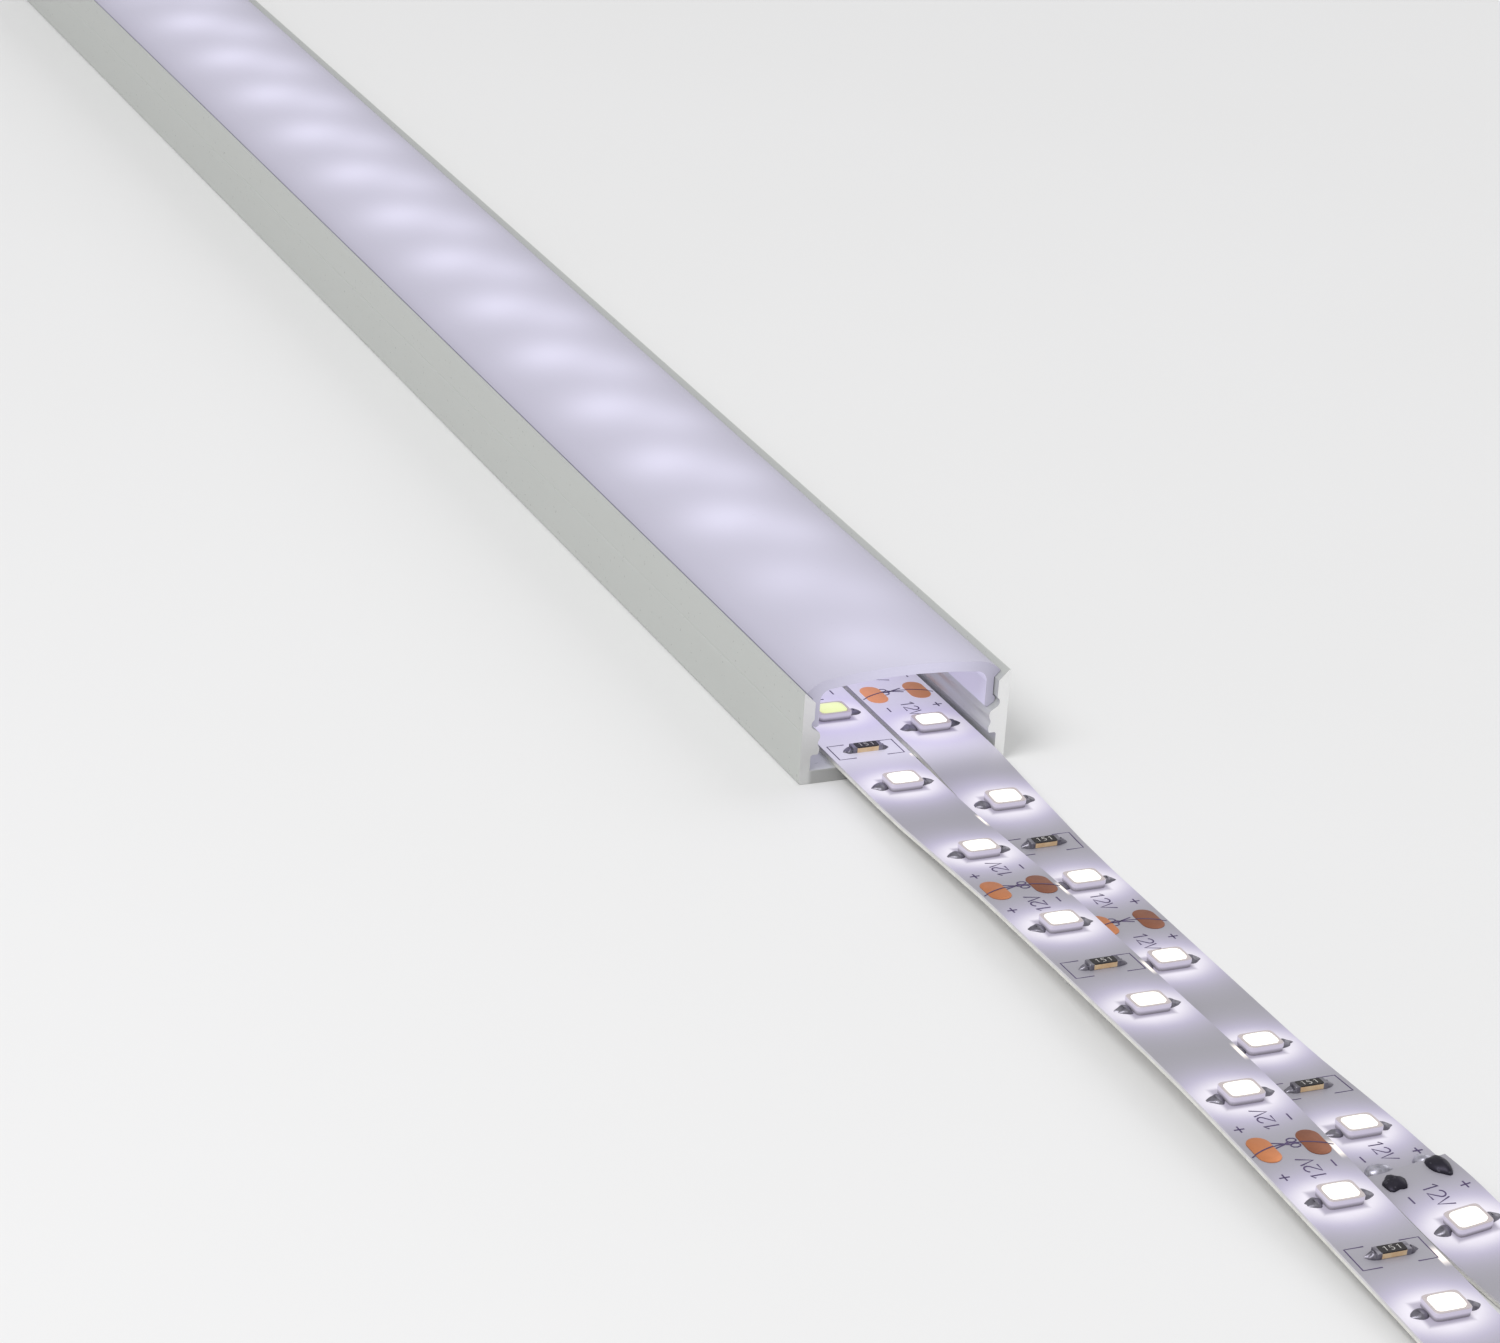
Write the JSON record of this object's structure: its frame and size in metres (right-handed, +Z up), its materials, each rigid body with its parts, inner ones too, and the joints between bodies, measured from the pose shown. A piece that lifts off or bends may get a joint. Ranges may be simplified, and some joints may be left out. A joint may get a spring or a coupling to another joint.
{
  "type": "led strip aluminium profile",
  "caption": "Extruded aluminium channel with a slide-in opal diffuser over two side-by-side flexible light strips that come out of one end.",
  "frame": {"origin": "middle of the channel's flat mounting face", "axes": "+Y along the profile away from the end where the strips come out, +X to the right seen from that end, +Z up out of the mounting face towards the diffuser"},
  "size_m": [0.0241, 0.4166, 0.0109],
  "materials": {
    "extruded_aluminium": "matt anodised extrusion",
    "opal_cover": "milky opal plastic",
    "white_circuit": "white solder mask",
    "adhesive_tape": "double-sided tape with its liner",
    "led_housing": "white moulded housing",
    "led_window": "phosphor-filled silicone",
    "solder": "reflowed solder",
    "resistor_ceramic": "ceramic with a black top coat",
    "tinned_caps": "tinned end caps",
    "copper_pads": "bare copper"
  },
  "bodies": {
    "profile": {"channel_extrusion": "extruded_aluminium", "left_circuit": "white_circuit", "left_tape": "adhesive_tape", "left_led_housings": "led_housing", "left_led_windows": "led_window", "left_solder_lumps": "solder", "left_resistors": "resistor_ceramic", "left_resistor_caps": "tinned_caps", "left_pads": "copper_pads", "right_circuit": "white_circuit", "right_tape": "adhesive_tape", "right_led_housings": "led_housing", "right_led_windows": "led_window", "right_solder_lumps": "solder", "right_resistors": "resistor_ceramic", "right_resistor_caps": "tinned_caps", "right_pads": "copper_pads", "joined_circuit": "white_circuit", "joined_tape": "adhesive_tape", "joined_led_housings": "led_housing", "joined_led_windows": "led_window", "joined_solder_lumps": "solder", "joined_resistors": "resistor_ceramic", "joined_resistor_caps": "tinned_caps", "joined_pads": "copper_pads", "joint_solder": "solder"},
    "cover": {"diffuser_cover": "opal_cover"}
  },
  "joints": [
    {"name": "cover_slide", "type": "slide", "parent": "profile", "child": "cover", "axis": [0, 1, 0], "range_m": [-0.25, 0.25]}
  ]
}
